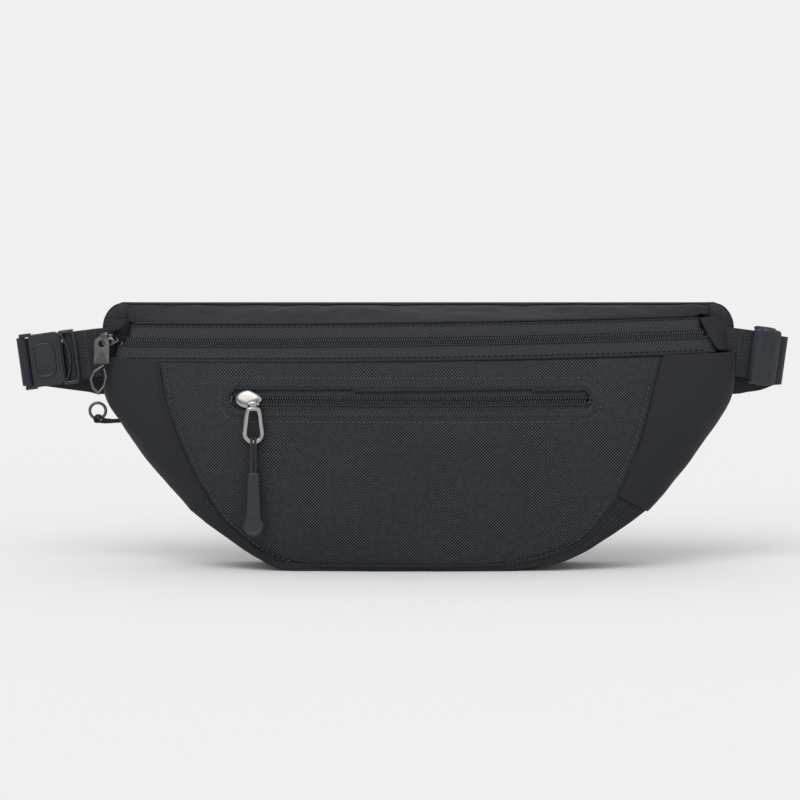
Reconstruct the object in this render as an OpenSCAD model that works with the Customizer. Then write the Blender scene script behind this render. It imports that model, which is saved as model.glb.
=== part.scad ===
// Waist pack: a zipped hip bag with a front pocket, a main zip along its top edge and a belt.
// The front faces -Y, +X is to the right seen from the front, and the bag stands on z = 0.

/* [Bag] */
// Half the width of the bag body
half_w = 166.5; // [165:0.5:168]
// Height of the back panel
bag_h = 137.5; // [137:0.5:138.5]
// How far the front bulges forward of the origin
front_d = 26; // [25:0.5:27]
// Where the back panel starts, behind the origin
back_y = 24; // [23.5:0.5:25]
// Radius of the front's curve, seen from above
plan_r = 570; // [560:5:580]
// Thickness of a lined fabric panel
skin = 1.4; // [1.2:0.1:1.6]

/* [Main zip] */
// Slope of the whole zip line, in degrees
zip_tilt = 0.8; // [0.6:0.1:1]
// Width of the band that the two tapes make
zip_band = 21.5; // [20.5:0.5:22]
// Length of each slider
slider_l = 11; // [10:0.5:12]

/* [Front pocket] */
// Height of the pocket opening's middle line
pocket_z = 90.3; // [88:0.5:92]
// Height of the pocket opening
pocket_h = 12.6; // [12:0.2:13]
// Left end of the pocket opening
pocket_l = -99.7; // [-102:0.5:-98]
// Right end of the pocket opening
pocket_r = 91.3; // [89:0.5:94]

/* [Belt] */
// Width of the webbing
web_w = 25.4; // [25:0.1:25.8]
// Thickness of the webbing
web_t = 1.4; // [1.2:0.1:1.5]
// Angle by which the buckle and the belt's ends hang below the level
droop = 7.5; // [6.5:0.5:8]

/* [Hidden] */
charcoal = [0.10, 0.105, 0.12];
black = [0.04, 0.04, 0.05];
gunmetal = [0.45, 0.45, 0.47];
axis_y = plan_r - front_d;   // the front's curve and both zips turn about this upright line
zip_y = -8.5;                // middle of the main zip band, at the bag's centre
zip_z = 120.2;
zip_lean = 30.7;             // the main band leans back by this angle
zip_r = axis_y - zip_y;
zip_half = 154;              // half the length of the main zip's tapes
pocket_lean = 15.6;
panel_top = 110.4;           // top edge of the front and side panels at the centre
web_z = 112.5;               // middle of the webbing where it leaves the bag
web_y = 17;                  // its middle in depth

// Front of the bag at the centre line: a bulge that is fullest at z = 62.
function profile_y(z) = z > 62
    ? -front_d + 12 * pow((z - 62) / 49, 2)
    : -front_d + 9 * pow((62 - z) / 60, 2.2);
function front_y(x, z) = axis_y - sqrt(pow(axis_y - profile_y(z), 2) - x * x);
function mix(a, b, t) = a + (b - a) * t;
function top_z(x) = panel_top + x * tan(zip_tilt);

// A smooth curve through points, with n steps between each two.
function spline_at(p, i, t) = let (
        a = p[max(i - 1, 0)], b = p[i], c = p[i + 1], d = p[min(i + 2, len(p) - 1)]
    ) 0.5 * (2 * b + (c - a) * t + (2 * a - 5 * b + 4 * c - d) * t * t
        + (3 * b - a - 3 * c + d) * t * t * t);
function spline(p, n) = concat(
    [for (i = [0 : len(p) - 2], k = [0 : n - 1]) spline_at(p, i, k / n)], [p[len(p) - 1]]);

// Seam of a side: [seam x, seam z, edge x, edge z, edge y], from the zip down to the base.
side_left = [
    [-137, 109, -166.5, 111, 15], [-134, 91, -166, 90, 13], [-129.7, 78, -158, 76, 10],
    [-125, 66, -149.5, 65, 6], [-119, 52.5, -136.5, 48.5, 0], [-111.3, 39, -120, 31, -6]
];
gusset_left = [
    [-111.3, 39, -120, 31, -6], [-103.9, 27.4, -110, 23.5, -9], [-92, 16.5, -97, 14.5, -12],
    [-83, 9.8, -86, 7.5, -13], [-69, 4.5, -73, 1.8, -14], [-56, 2.8, -57, 0, -14]
];
gusset_right = [
    [46, 3.2, 50, 0, -14], [68, 8, 72, 3.6, -14], [84, 14.5, 87, 10, -13],
    [93, 22.6, 98, 16.5, -12], [99, 31, 110, 24, -9], [104.5, 39.5, 120, 31, -6]
];
side_right = [
    [104.5, 39.5, 120, 31, -6], [110, 52.5, 136.5, 49, 0], [116, 66, 149.5, 66, 6],
    [119.5, 78, 158, 77.5, 10], [123, 91, 165.5, 91, 13], [128.5, 112, 166.5, 113, 15]
];
corner_arc = [for (a = [0 : 15 : 90]) [half_w - 11 + 11 * cos(a), bag_h - 13 + 13 * sin(a)]];
steps = 4;

// Thin solid under a grid of points: rows of equal length, thickened by t along its normals.
function normal_at(g, r, c) = let (
        u = g[min(r + 1, len(g) - 1)][c] - g[max(r - 1, 0)][c],
        v = g[r][min(c + 1, len(g[0]) - 1)] - g[r][max(c - 1, 0)],
        n = cross(u, v)
    ) n / norm(n);
module patch(g, t) {
    rows = len(g);
    cols = len(g[0]);
    count = rows * cols;
    outer = [for (row = g, p = row) p];
    inner = [for (r = [0 : rows - 1], c = [0 : cols - 1]) g[r][c] + t * normal_at(g, r, c)];
    faces = concat(
        [for (r = [0 : rows - 2], c = [0 : cols - 2], k = [0, 1]) let (i = r * cols + c)
            k == 0 ? [i, i + 1, i + cols] : [i + 1, i + cols + 1, i + cols]],
        [for (r = [0 : rows - 2], c = [0 : cols - 2], k = [0, 1]) let (i = count + r * cols + c)
            k == 0 ? [i, i + cols, i + 1] : [i + 1, i + cols, i + cols + 1]],
        [for (r = [0 : rows - 2], e = [0, 1], k = [0, 1]) let (
                a = r * cols + e * (cols - 1), b = a + cols, s = (e == 0) == (k == 0))
            e == 0 ? (k == 0 ? [a, b, a + count] : [b, b + count, a + count])
                   : (k == 0 ? [b, a, b + count] : [a, a + count, b + count])],
        [for (c = [0 : cols - 2], e = [0, 1], k = [0, 1]) let (
                a = e * (rows - 1) * cols + c, b = a + 1)
            e == 0 ? (k == 0 ? [b, a, b + count] : [a, a + count, b + count])
                   : (k == 0 ? [a, b, a + count] : [b, b + count, a + count])]
    );
    polyhedron(concat(outer, inner), t < 0 ? faces : [for (f = faces) [f[2], f[1], f[0]]]);
}

// One row across a side: from the front seam, round the edge, to the back panel.
function wrap_row(s) = let (ys = front_y(s[0], s[1]) + 0.1) concat(
    [for (a = [0 : 15 : 90]) [
        mix(s[0], s[2], sin(a)), mix(ys, s[4], 1 - cos(a)), mix(s[1], s[3], sin(a))]],
    [[s[2], mix(s[4], back_y, 0.5), s[3]], [s[2], back_y, s[3]]]
);
module wrap(stations, inward) patch([for (s = spline(stations, steps)) wrap_row(s)], inward);

// Outline of the back panel, seen from the front.
function edges(stations) = [for (s = spline(stations, steps)) [s[2], s[3]]];
back_outline = concat(
    [for (p = [len(corner_arc) - 1 : -1 : 0]) [-corner_arc[p][0], corner_arc[p][1]]],
    edges(side_left), edges(gusset_left), edges(gusset_right), edges(side_right), corner_arc);
module upright(y0, y1) translate([0, y1, 0]) rotate([90, 0, 0]) linear_extrude(y1 - y0) children();

// A curved strip about the front's upright line: children() give its section as [y, z] shapes.
module curved(x0, x1) {
    a0 = asin(x0 / plan_r);
    a1 = asin(x1 / plan_r);
    translate([0, axis_y, 0]) rotate([0, 0, a0 - 90])
        rotate_extrude(angle = a1 - a0, $fn = 360)
            translate([axis_y, 0]) mirror([1, 0]) children();
}
module zip_turn() rotate([0, -zip_tilt, 0]) children();
// Section frame of a zip: first axis into the bag, second axis up the band.
module leaning(y, z, lean) translate([y, z]) rotate(-lean) children();
module zip_section() leaning(zip_y, zip_z, zip_lean) children();
module pocket_section() leaning(profile_y(pocket_z), pocket_z, pocket_lean) children();
module span(y0, y1, z0, z1) translate([y0, z0]) square([y1 - y0, z1 - z0]);
// Puts a piece made at the bag's centre at the place x along a zip of radius r.
module along(x, r) translate([0, axis_y, 0]) rotate([0, 0, asin(x / r)]) translate([0, -axis_y, 0])
    children();
module at_zip(x) zip_turn() along(x, zip_r) translate([0, zip_y, zip_z]) rotate([-zip_lean, 0, 0])
    children();
module at_pocket(x) along(x, axis_y - profile_y(pocket_z)) translate([0, profile_y(pocket_z), pocket_z])
    rotate([-pocket_lean, 0, 0]) children();
module box(x0, x1, y0, y1, z0, z1) translate([x0, y0, z0]) cube([x1 - x0, y1 - y0, z1 - z0]);

// ---- Shell ----
module back_panel() color(charcoal) upright(back_y + 0.1, back_y + 1.3)
    polygon(back_outline);
module back_foam() color(black) upright(back_y - 0.1 - 3, back_y - 0.1)
    polygon([for (p = back_outline) [p[0] * 0.89, 4 + p[1] * 0.88]]);
module panel_outline() polygon(concat(
    [for (s = spline(side_left, steps)) [s[0] + 0.15, min(s[1], top_z(s[0]))]],
    [for (s = spline(gusset_left, steps)) [s[0] + 0.15, s[1] + 0.15]],
    [for (s = spline(gusset_right, steps)) [s[0] - 0.15, s[1] + 0.15]],
    [for (s = spline(side_right, steps)) [s[0] - 0.15, min(s[1], top_z(s[0]))]]));
module front_section(t) polygon(concat(
    [for (z = [1 : 5.7 : 115]) [profile_y(z), z]],
    [for (z = [115 : -5.7 : 1]) [profile_y(z) + t, z]]));
module slot(grow) hull() for (x = [pocket_l + pocket_h / 2, pocket_r - pocket_h / 2])
    translate([x, pocket_z]) circle(pocket_h / 2 + grow, $fn = 48);
module front_panel() color(charcoal) difference() {
    intersection() {
        curved(-145, 145) front_section(skin);
        upright(-40, 30) panel_outline();
    }
    upright(-40, 30) slot(0);
}
module side_panel_left() color(charcoal) wrap(side_left, skin);
module side_panel_right() color(charcoal) wrap(side_right, skin);
module bottom_gusset() color(charcoal)
    patch([for (s = concat(spline(gusset_left, steps), spline(gusset_right, steps))) wrap_row(s)], skin);
// Top corner: a flat fold of fabric behind the end of the zip.
module corner(side) {
    inner = [for (i = [0 : 6]) [side * (zip_half + 1),
        mix(20, back_y - 2.2, i / 6), mix(113.5, bag_h - 0.3, i / 6)]];
    outer = [for (i = [0 : 6]) [side * corner_arc[i][0], mix(20, back_y - 1.8, i / 6),
        i == 0 ? 113.5 : corner_arc[i][1]]];
    patch([for (i = [0 : 6]) [for (k = [0 : 4]) mix(inner[i], outer[i], k / 4)]], side * skin);
}
module corner_left() color(charcoal) corner(-1);
module corner_right() color(charcoal) corner(1);
// Lid of the main compartment: from the back's top edge to the upper tape.
function tape_top(x) = let (
        s = zip_band / 2 + 1.1,
        y = zip_y + s * sin(zip_lean),
        r = axis_y - y
    ) [x, axis_y - sqrt(r * r - x * x), zip_z + s * cos(zip_lean) + x * tan(zip_tilt)];
module top_panel() color(charcoal) patch([for (i = [0 : 24]) let (x = mix(-zip_half, zip_half, i / 24)) [
        for (k = [0 : 5]) let (t = k / 5, low = tape_top(x), high = [x, back_y - 2, bag_h - 0.3])
            mix(low, high, t) + [0, 0, 1.6 * sin(180 * t)]]], -skin);

// ---- Main zip ----
module zip_strip(x) zip_turn() curved(-x, x) zip_section() children();
module zip_tape_lower() color(black) zip_strip(zip_half + 5) span(0, 0.8, -zip_band / 2, -0.9);
module zip_tape_upper() color(black) zip_strip(zip_half) span(0, 0.8, 0.9, zip_band / 2);
module zip_coil_lower() color(black) zip_strip(zip_half - 1) span(-1.1, -0.05, -2.2, -0.4);
module zip_coil_upper() color(black) zip_strip(zip_half - 1) span(-1.1, -0.05, 0.4, 2.2);
module zip_stops() color(gunmetal) for (x = [-zip_half + 0.4, zip_half - 0.4])
    at_zip(x * 1.005) box(-0.6, 0.6, -1.5, -0.05, -2.4, -0.4);
// Slider: an outer and an inner plate on a thin neck, with a bridge for its pull.
module slider(l, h, y0, y1, neck) {
    for (y = [y0 - 1, y1]) translate([0, y + 1, 0]) rotate([90, 0, 0]) linear_extrude(1) union() {
        square([l - h / 2, h], center = true);
        translate([(l - h / 2) / 2, 0]) circle(h / 2, $fn = 40);
    }
    box(-l / 2 + 1, -l / 2 + 4, y0 - 0.2, y1 + 0.2, -neck, neck);
}
module bridge(l, y, z, out) {
    for (x = [-l / 2, l / 2 - 1]) box(x, x + 1, y - out, y + 0.2, z - 0.8, z + 0.8);
    translate([-l / 2, y - out, z]) rotate([0, 90, 0]) cylinder(r = 0.8, h = l, $fn = 24);
}
main_x = -161;
module main_slider() color(gunmetal) at_zip(main_x) {
    slider(slider_l - 2, 8, -1.4, 1.2, 0.25);
    bridge(7, -2.3, 0, 5.7);
}
// The bridge rod's middle, the hinge line of the main pull.
function roll(p) = [p[0] * cos(zip_tilt) - p[2] * sin(zip_tilt), p[1],
    p[0] * sin(zip_tilt) + p[2] * cos(zip_tilt)];
function on_zip(x, out) = let (
        a = asin(x / zip_r),
        r = zip_r + out * cos(zip_lean),
        z = zip_z + out * sin(zip_lean)
    ) roll([r * sin(a), axis_y - r * cos(a), z]);
main_pivot = on_zip(main_x, 8);
main_turn = asin(main_x / zip_r);
// Pull tab: a small eye on the bridge, a round head and a flat plate.
pull_lean = 16;
module main_pull_tab() color(gunmetal) translate(main_pivot) {
    rotate([0, 0, main_turn]) rotate([0, 90, 0]) rotate_extrude($fn = 48)
        translate([0.86, -1.2]) square([0.9, 2.4]);
    rotate([-pull_lean, 0, 0]) translate([-2.2, 0, 0]) rotate([90, 0, 0]) difference() {
        union() {
            translate([0, -4.6, 0]) cylinder(r = 3.9, h = 1.4, center = true, $fn = 48);
            translate([-3.9, -15.4, -0.7]) cube([7.8, 10.8, 1.4]);
            translate([1, -3, -0.7]) cube([2.6, 1.9, 1.4]);
        }
        translate([0, -4.6, 0]) cylinder(r = 1.9, h = 3, center = true, $fn = 48);
    }
}
// Wire bent along points, each stretch a round rod with a ball at its ends.
module rod(a, b, r) {
    d = b - a;
    translate(a) rotate([0, acos(d[2] / norm(d)), atan2(d[1], d[0])]) cylinder(r = r, h = norm(d), $fn = 20);
}
loop_points = [[0, 0, -16.3], [-4.6, 0, -19.5], [-6.4, 0, -23.5], [-5.2, 0, -28], [-2.4, 0, -31],
    [0.4, 0, -27.5], [1.6, 0, -22.5], [0.6, 0, -18.5]];
module main_pull_loop() color(gunmetal)
    translate(main_pivot) rotate([-pull_lean, 0, 0]) translate([-1.3, 0, 0]) {
    for (i = [0 : len(loop_points) - 2]) rod(loop_points[i], loop_points[i + 1], 0.8);
    for (i = [0 : len(loop_points) - 1]) translate(loop_points[i]) sphere(r = 0.86, $fn = 24);
}
ring_at = [-169.4, 9, 82];
ring_r = 4.2;
module ring_shape(r) translate(ring_at) rotate([90, 0, 0]) rotate_extrude($fn = 48)
    translate([ring_r, 0]) circle(r = r, $fn = 24);
module ring_tab() color(black) difference() {
    translate(ring_at) union() {
        box(-1.6, 1.6, -1.8, 2.2, -6.8, -3);
        box(-1.6, 11.9, -1.8, 2.2, -6.8, -5.5);
    }
    ring_shape(1.1);
}
module lock_ring() color(gunmetal) ring_shape(0.8);

// ---- Front pocket ----
module pocket_strip(x0, x1) curved(x0, x1) pocket_section() children();
module pocket_welt() color(charcoal) intersection() {
    pocket_strip(pocket_l - 4, pocket_r + 4) span(-0.5, -0.05, -9.5, 9.5);
    upright(-40, 30) difference() {
        slot(2.4);
        slot(0);
    }
}
module pocket_tape_upper() color(black) pocket_strip(pocket_l - 2, pocket_r + 2)
    span(skin + 0.5, skin + 1.1, 0.8, 9);
module pocket_tape_lower() color(black) pocket_strip(pocket_l - 2, pocket_r + 2)
    span(skin + 0.5, skin + 1.1, -9, -0.8);
module pocket_coil_upper() color(black) pocket_strip(pocket_l + 2.6, pocket_r - 2.6)
    span(0.8, skin + 0.45, 0.4, 2);
module pocket_coil_lower() color(black) pocket_strip(pocket_l + 2.6, pocket_r - 2.6)
    span(0.8, skin + 0.45, -2, -0.4);
module pocket_stops() color(gunmetal) for (x = [pocket_l + 1.7, pocket_r - 1.7])
    at_pocket(x) box(-0.5, 0.5, 0.4, skin + 0.4, -2.2, 2.2);
slide_x = -88.6;
pull_x = slide_x + 3.6;    // the pull hangs from the slider's right half
module pocket_slider() color(gunmetal) at_pocket(slide_x) {
    slider(slider_l + 1.5, 9, 0.4, skin + 1.5, 0.25);
    translate([pull_x - slide_x, 0, 0]) bridge(6.4, -0.5, -3.5, 6.1);
}
function on_pocket(x, out, up) = let (
        a = asin(x / (axis_y - profile_y(pocket_z))),
        y = profile_y(pocket_z) - out * cos(pocket_lean) + up * sin(pocket_lean),
        z = pocket_z + out * sin(pocket_lean) + up * cos(pocket_lean)
    ) [(axis_y - y) * sin(a), axis_y - (axis_y - y) * cos(a), z];
pocket_pivot = on_pocket(pull_x, 6.6, -3.5);
pocket_turn = asin(pull_x / (axis_y - profile_y(pocket_z)));
// Pull: a small eye on the bridge, a link and a ring for the cord.
module pocket_pull() color(gunmetal) translate(pocket_pivot) {
    rotate([0, 0, pocket_turn]) rotate([0, 90, 0]) rotate_extrude($fn = 48)
        translate([0.86, -1.6]) square([1, 3.2]);
    rotate([90, 0, 0]) difference() {
        union() {
            translate([0, -15, 0]) cylinder(r = 5.6, h = 1.8, center = true, $fn = 64);
            translate([-3.9, -14, -0.9]) cube([7.8, 12.3, 1.8]);
        }
        translate([0, -15, 0]) cylinder(r = 3.3, h = 3, center = true, $fn = 48);
        translate([-1.9, -8.6, -2]) cube([3.8, 5, 4]);
        translate([-2.2, -24, -2]) cube([4.4, 6.6, 4]);
    }
    rotate([0, 90, 0]) translate([20.2, 0, 0]) cylinder(r = 1.4, h = 6.4, center = true, $fn = 32);
}
ring_low = pocket_pivot + [0, 0, -20.2];
// Doubled cord: a loop round the ring's lower side, then two strands down to the rubber.
module pull_cord() color(black) translate(ring_low) {
    rotate([0, 90, 0]) difference() {
        cylinder(r = 2.6, h = 3.4, center = true, $fn = 40);
        cylinder(r = 1.5, h = 5, center = true, $fn = 40);
    }
    box(-1.7, 1.7, -0.9, 0.9, -15.5, -2);
}
module rubber_puller() color(black)
    translate(ring_low + [0, 0, -15.7]) rotate([90, 0, 0]) linear_extrude(3.8, center = true)
    polygon(concat([[-3.6, 0], [-3.6, -12], [-4.2, -20]],
        [for (a = [170 : 20 : 370]) [5.4 * cos(a), -28 + 5.4 * sin(a)]],
        [[4.2, -20], [3.6, -12], [3.6, 0]]));
module pocket_bag() color(black) intersection() {
    curved(-98, 90) polygon([
        for (z = [34 : 4 : 98]) [profile_y(z) + skin + 3.2, z],
        for (z = [98 : -4 : 34]) [profile_y(z) + skin + 4, z]]);
    upright(-40, 30) polygon([[-93, 96], [-97, 60], [-70, 36], [60, 36], [90, 60], [88, 96]]);
}
module inner_divider() color(black) upright(back_y - 5.4, back_y - 4.6)
    polygon([[-112, 100], [-112, 46], [-82, 16], [82, 16], [112, 46], [112, 100]]);

// ---- Belt ----
// The wings are the webbing's ends, sewn to the bag's edges.
module hang_left() translate([-166.9, web_y, web_z]) rotate([0, -droop, 0]) mirror([1, 0, 0]) children();
module hang_right() translate([166.9, web_y, web_z]) rotate([0, droop, 0]) children();
module web(x0, x1, y) box(x0, x1, y - web_t / 2, y + web_t / 2, -web_w / 2, web_w / 2);
module wing_left() color(black) hang_left() web(0.3, 15.5, 0);
module wing_right() color(black) hang_right() web(0.3, 25.2, 0);
// Webbing folded round a bar: the outer turn of radius r about the bar's middle.
module web_turn(x, y, r) translate([x, y, -web_w / 2]) linear_extrude(web_w) difference() {
    circle(r = r + web_t, $fn = 48);
    circle(r = r, $fn = 48);
    translate([-2 * r - 3, -r - 3]) square([2 * r + 3, 2 * r + 6]);
}
bar_x = 17.6;
module plug_loop() color(black) hang_left() {
    web_turn(bar_x, 0.9, 1.6);
    web(5, bar_x, 0.9 + 1.6 + web_t / 2);
}
// Plug: a frame with a bar for the webbing, and a guide between the two arms.
plug_h = 28;
module buckle_plug() color(black) hang_left() {
    difference() {
        box(14.4, 22.5, -2.6, 4.4, -plug_h / 2, plug_h / 2);
        box(14.2, 21, -3.2, 5, -web_w / 2 - 0.4, web_w / 2 + 0.4);
    }
    translate([bar_x, 0.9, -plug_h / 2 + 0.5]) cylinder(r = 1.4, h = plug_h - 1, $fn = 32);
    box(22.4, 34.5, -1.2, 3, -2.2, 2.2);
}
arm_x = 23.2;
module latch_arm(s) hang_left() translate([0, 0, s * 9.6]) {
    box(arm_x - 0.2, 31.5, -1.1, 2.9, -1.3, 1.3);
    translate([0, 2.9, 0]) rotate([90, 0, 0]) linear_extrude(4)
        polygon([[31.4, -s * 1.3], [31.4, s * 2.3], [36.4, s * 0.8], [36.4, -s * 1.3]]);
}
module latch_arm_upper() color(black) latch_arm(1);
module latch_arm_lower() color(black) latch_arm(-1);
socket_h = 27.6;
bar_far = 41.6;
module buckle_socket() color(black) hang_left() {
    difference() {
        translate([0, 5, 0]) rotate([90, 0, 0]) linear_extrude(8.2) union() {
            translate([22.8, -socket_h / 2 + 2]) square([15.6, socket_h - 4]);
            translate([24.8, -socket_h / 2]) square([11.6, socket_h]);
            for (x = [24.8, 36.4], z = [-1, 1]) translate([x, z * (socket_h / 2 - 2)]) circle(2, $fn = 32);
        }
        box(20, 37, -1.8, 3.6, -12.2, 12.2);
        for (s = [-1, 1]) translate([28, 0.9, s * 12]) cube([6, 5.4, 6], center = true);
    }
    for (s = [-1, 1]) box(37, bar_far + 1.6, -0.9, 2.7, s * 13.9 - 0.9, s * 13.9 + 0.9);
    translate([bar_far, 0.9, -13.4]) cylinder(r = 1.4, h = 26.8, $fn = 32);
}
// Webbing swept along points of its middle line: [x, y, z, lean of its width from upright].
module strap(path) {
    count = len(path);
    side = [for (i = [0 : count - 1]) let (
            d = path[min(i + 1, count - 1)] - path[max(i - 1, 0)]
        ) [-d[1], d[0], 0] / norm([d[0], d[1]]) * web_t / 2];
    points = [for (i = [0 : count - 1], k = [0 : 3]) let (p = path[i])
        [p[0], p[1], p[2]] + (k == 0 || k == 3 ? 1 : -1) * side[i]
        + (k < 2 ? -1 : 1) * web_w / 2 * [sin(p[3]), 0, cos(p[3])]];
    faces = concat([[3, 2, 1, 0]], [[for (k = [0 : 3]) 4 * (count - 1) + k]],
        [for (i = [0 : count - 2], k = [0 : 3], h = [0, 1]) let (a = 4 * i + k, b = 4 * i + (k + 1) % 4)
            h == 0 ? [a, b, b + 4] : [a, b + 4, a + 4]]);
    polyhedron(points, faces);
}
run_z = 102;
run_in = back_y + 2.4;    // middle of the run next to the back panel
run_out = run_in + 2.2;
end_x = 176;              // where the runs leave the bag's width
// A point of a run: past the bag's edge it drops to the buckle's slope and leans with it.
function run_at(x, y) = [x, y, run_z + max(abs(x) - 170, 0) * 0.137,
    abs(x) > 171 ? sign(x) * droop : 0];
far_x = -166.9 - bar_far * cos(droop);
far_y = web_y + 0.9;
far_z = web_z - bar_far * sin(droop);
turn_r = 1.7 + web_t / 2;
module socket_loop() color(black) strap(concat(
    [for (x = [-end_x - 0.4, -188, -199]) run_at(x, mix(run_out, run_out - 0.8, (-x - end_x) / 24))],
    [[far_x + 2.2, far_y + 7.4, far_z - 0.8, -droop], [far_x - 0.4, far_y + 4.8, far_z - 0.3, -droop]],
    [for (a = [160 : 20 : 350]) [far_x + turn_r * cos(a), far_y + turn_r * sin(a), far_z, -droop]],
    [[far_x + 2.1, far_y + 3, far_z, -droop], [far_x + 3.2, far_y + 5.9, far_z - 0.5, -droop]],
    [for (x = [-199, -188, -end_x - 0.4]) run_at(x, mix(run_in, run_in - 1, (-x - end_x) / 24))]));
module belt_back_run() color(black) {
    strap([for (x = [-end_x, -170, 0, 170, end_x]) run_at(x, run_in)]);
    strap([for (x = [-end_x, -170, 0, 170, end_x]) run_at(x, run_out)]);
}
right_z = web_z - 27 * sin(droop);
module belt_right_turn() color(black) strap(concat(
    [[166.9 + 25.5 * cos(droop), web_y, web_z - 25.5 * sin(droop), droop]],
    [for (a = [-90 : 20 : 90]) [193.6 + 4.2 * cos(a), web_y + 4.4 + 4.4 * sin(a), right_z - 1.5 - a / 90, droop]],
    [[187, run_in - 0.4, 104.3, droop], run_at(end_x + 0.4, run_in)]));
// Tri-glide: two side bars before the webbing, one middle bar behind it.
glide = 10;
module adjuster() color(black) hang_right() {
    for (x = [glide, glide + 7.8]) box(x, x + 3.2, -2.6, -web_t / 2 - 0.3, -14.2, 14.2);
    box(glide + 3.8, glide + 7.2, web_t / 2 + 0.3, 2.6, -14.2, 14.2);
    for (s = [-1, 1]) box(glide, glide + 11, -2.6, 2.6, s * 13.7 - 0.6, s * 13.7 + 0.6);
}

back_panel();
back_foam();
front_panel();
side_panel_left();
side_panel_right();
bottom_gusset();
corner_left();
corner_right();
top_panel();
zip_tape_lower();
zip_tape_upper();
zip_coil_lower();
zip_coil_upper();
zip_stops();
main_slider();
main_pull_tab();
main_pull_loop();
ring_tab();
lock_ring();
pocket_welt();
pocket_tape_upper();
pocket_tape_lower();
pocket_coil_upper();
pocket_coil_lower();
pocket_stops();
pocket_slider();
pocket_pull();
pull_cord();
rubber_puller();
pocket_bag();
inner_divider();
wing_left();
wing_right();
plug_loop();
buckle_plug();
latch_arm_upper();
latch_arm_lower();
buckle_socket();
socket_loop();
belt_back_run();
belt_right_turn();
adjuster();
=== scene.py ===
"""Waist pack: fabric panels, zips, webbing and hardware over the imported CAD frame.

Lengths in this file are in millimetres until a mesh is made. +Z is up, +X to the right and -Y to
the front, as in the frame."""

import math

import bpy
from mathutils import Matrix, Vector, noise


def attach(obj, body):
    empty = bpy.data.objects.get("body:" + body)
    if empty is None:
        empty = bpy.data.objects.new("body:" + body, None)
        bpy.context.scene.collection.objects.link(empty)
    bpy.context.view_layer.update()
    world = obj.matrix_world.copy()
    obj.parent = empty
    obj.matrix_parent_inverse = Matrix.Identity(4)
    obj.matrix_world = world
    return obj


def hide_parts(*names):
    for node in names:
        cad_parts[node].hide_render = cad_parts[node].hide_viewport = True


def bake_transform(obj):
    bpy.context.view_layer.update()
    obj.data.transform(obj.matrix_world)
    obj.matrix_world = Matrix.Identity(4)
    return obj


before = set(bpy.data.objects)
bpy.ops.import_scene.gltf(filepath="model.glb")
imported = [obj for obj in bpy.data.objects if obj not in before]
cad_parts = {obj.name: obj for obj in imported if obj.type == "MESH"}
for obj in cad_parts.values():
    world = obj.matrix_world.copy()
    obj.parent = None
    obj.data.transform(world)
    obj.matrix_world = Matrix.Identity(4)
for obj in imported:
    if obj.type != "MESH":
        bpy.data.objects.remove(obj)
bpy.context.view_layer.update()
MM = 0.001

# ---- Dimensions, the same as the CAD model's ----
# Body: half width, height, how far its front and back are from y = 0, and its top corners' radii.
HALF_W, BAG_H, FRONT, BACK = 166.5, 137.5, 26.0, 24.0
CORNER_X, CORNER_Z = 11, 13
AXIS_Y = 570.0 - FRONT  # the upright axis of the arc that the front follows in plan
# Main zip: the middle of its band, its lean and its tilt in degrees, its width and half length.
ZIP_Y, ZIP_Z, ZIP_LEAN, ZIP_TILT, ZIP_BAND, ZIP_HALF = -8.5, 120.2, 30.7, 0.8, 21.5, 154.0
ZIP_R = AXIS_Y - ZIP_Y
ZIP_SLOPE = math.tan(math.radians(ZIP_TILT))
MAIN_SLIDER_X = -161.0
# Front panel: its lower edge at the left and the right seam, and its upper edge at x = 0.
PANEL_LOW_LEFT, PANEL_LOW_RIGHT, PANEL_TOP = 2.9, 3.3, 110.3
SEAM_STITCH = 3.6  # from the seam to its row of stitches
# Front pocket: the opening's middle height, its height, its ends and its lean, then the slider's
# place along it and the pull's pivot.
POCKET_Z, POCKET_H, POCKET_L, POCKET_R, POCKET_LEAN = 90.3, 12.6, -99.7, 91.3, 15.6
SLIDER_X, PULL_X, PULL_OUT, PULL_UP = -88.6, -85.0, 6.6, -3.5
# Belt: the wings' place, the angle they hang at, the two runs behind the bag, the socket's far bar.
WEB_Y, WEB_Z, DROOP = 17.0, 112.5, 7.5
RUN_IN, RUN_OUT, RUN_Z = BACK + 2.4, BACK + 4.6, 102.0
BAR_FAR = 41.6
CLOTH = 0.9  # thickness of the shell's cloth


def mix(a, b, t):
    return a + (b - a) * t


def sin(a):
    return math.sin(math.radians(a))


def cos(a):
    return math.cos(math.radians(a))


def profile_y(z):
    """The front at the bag's centre line: a bulge that is fullest at z = 62."""
    if z > 62:
        return -FRONT + 12 * ((z - 62) / 49) ** 2
    return -FRONT + 9 * ((62 - z) / 60) ** 2.2


def front_y(x, z):
    return AXIS_Y - math.sqrt((AXIS_Y - profile_y(z)) ** 2 - x * x)


def spline(points, steps):
    """A smooth curve through points, with that many steps between each two."""
    out = []
    for i in range(len(points) - 1):
        a, b, c, d = (points[min(max(i + k, 0), len(points) - 1)] for k in (-1, 0, 1, 2))
        for k in range(steps):
            t = k / steps
            out.append([
                0.5 * (2 * q + (r - p) * t + (2 * p - 5 * q + 4 * r - s) * t * t
                       + (3 * q - p - 3 * r + s) * t ** 3)
                for p, q, r, s in zip(a, b, c, d)
            ])
    return out + [list(points[-1])]


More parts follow.
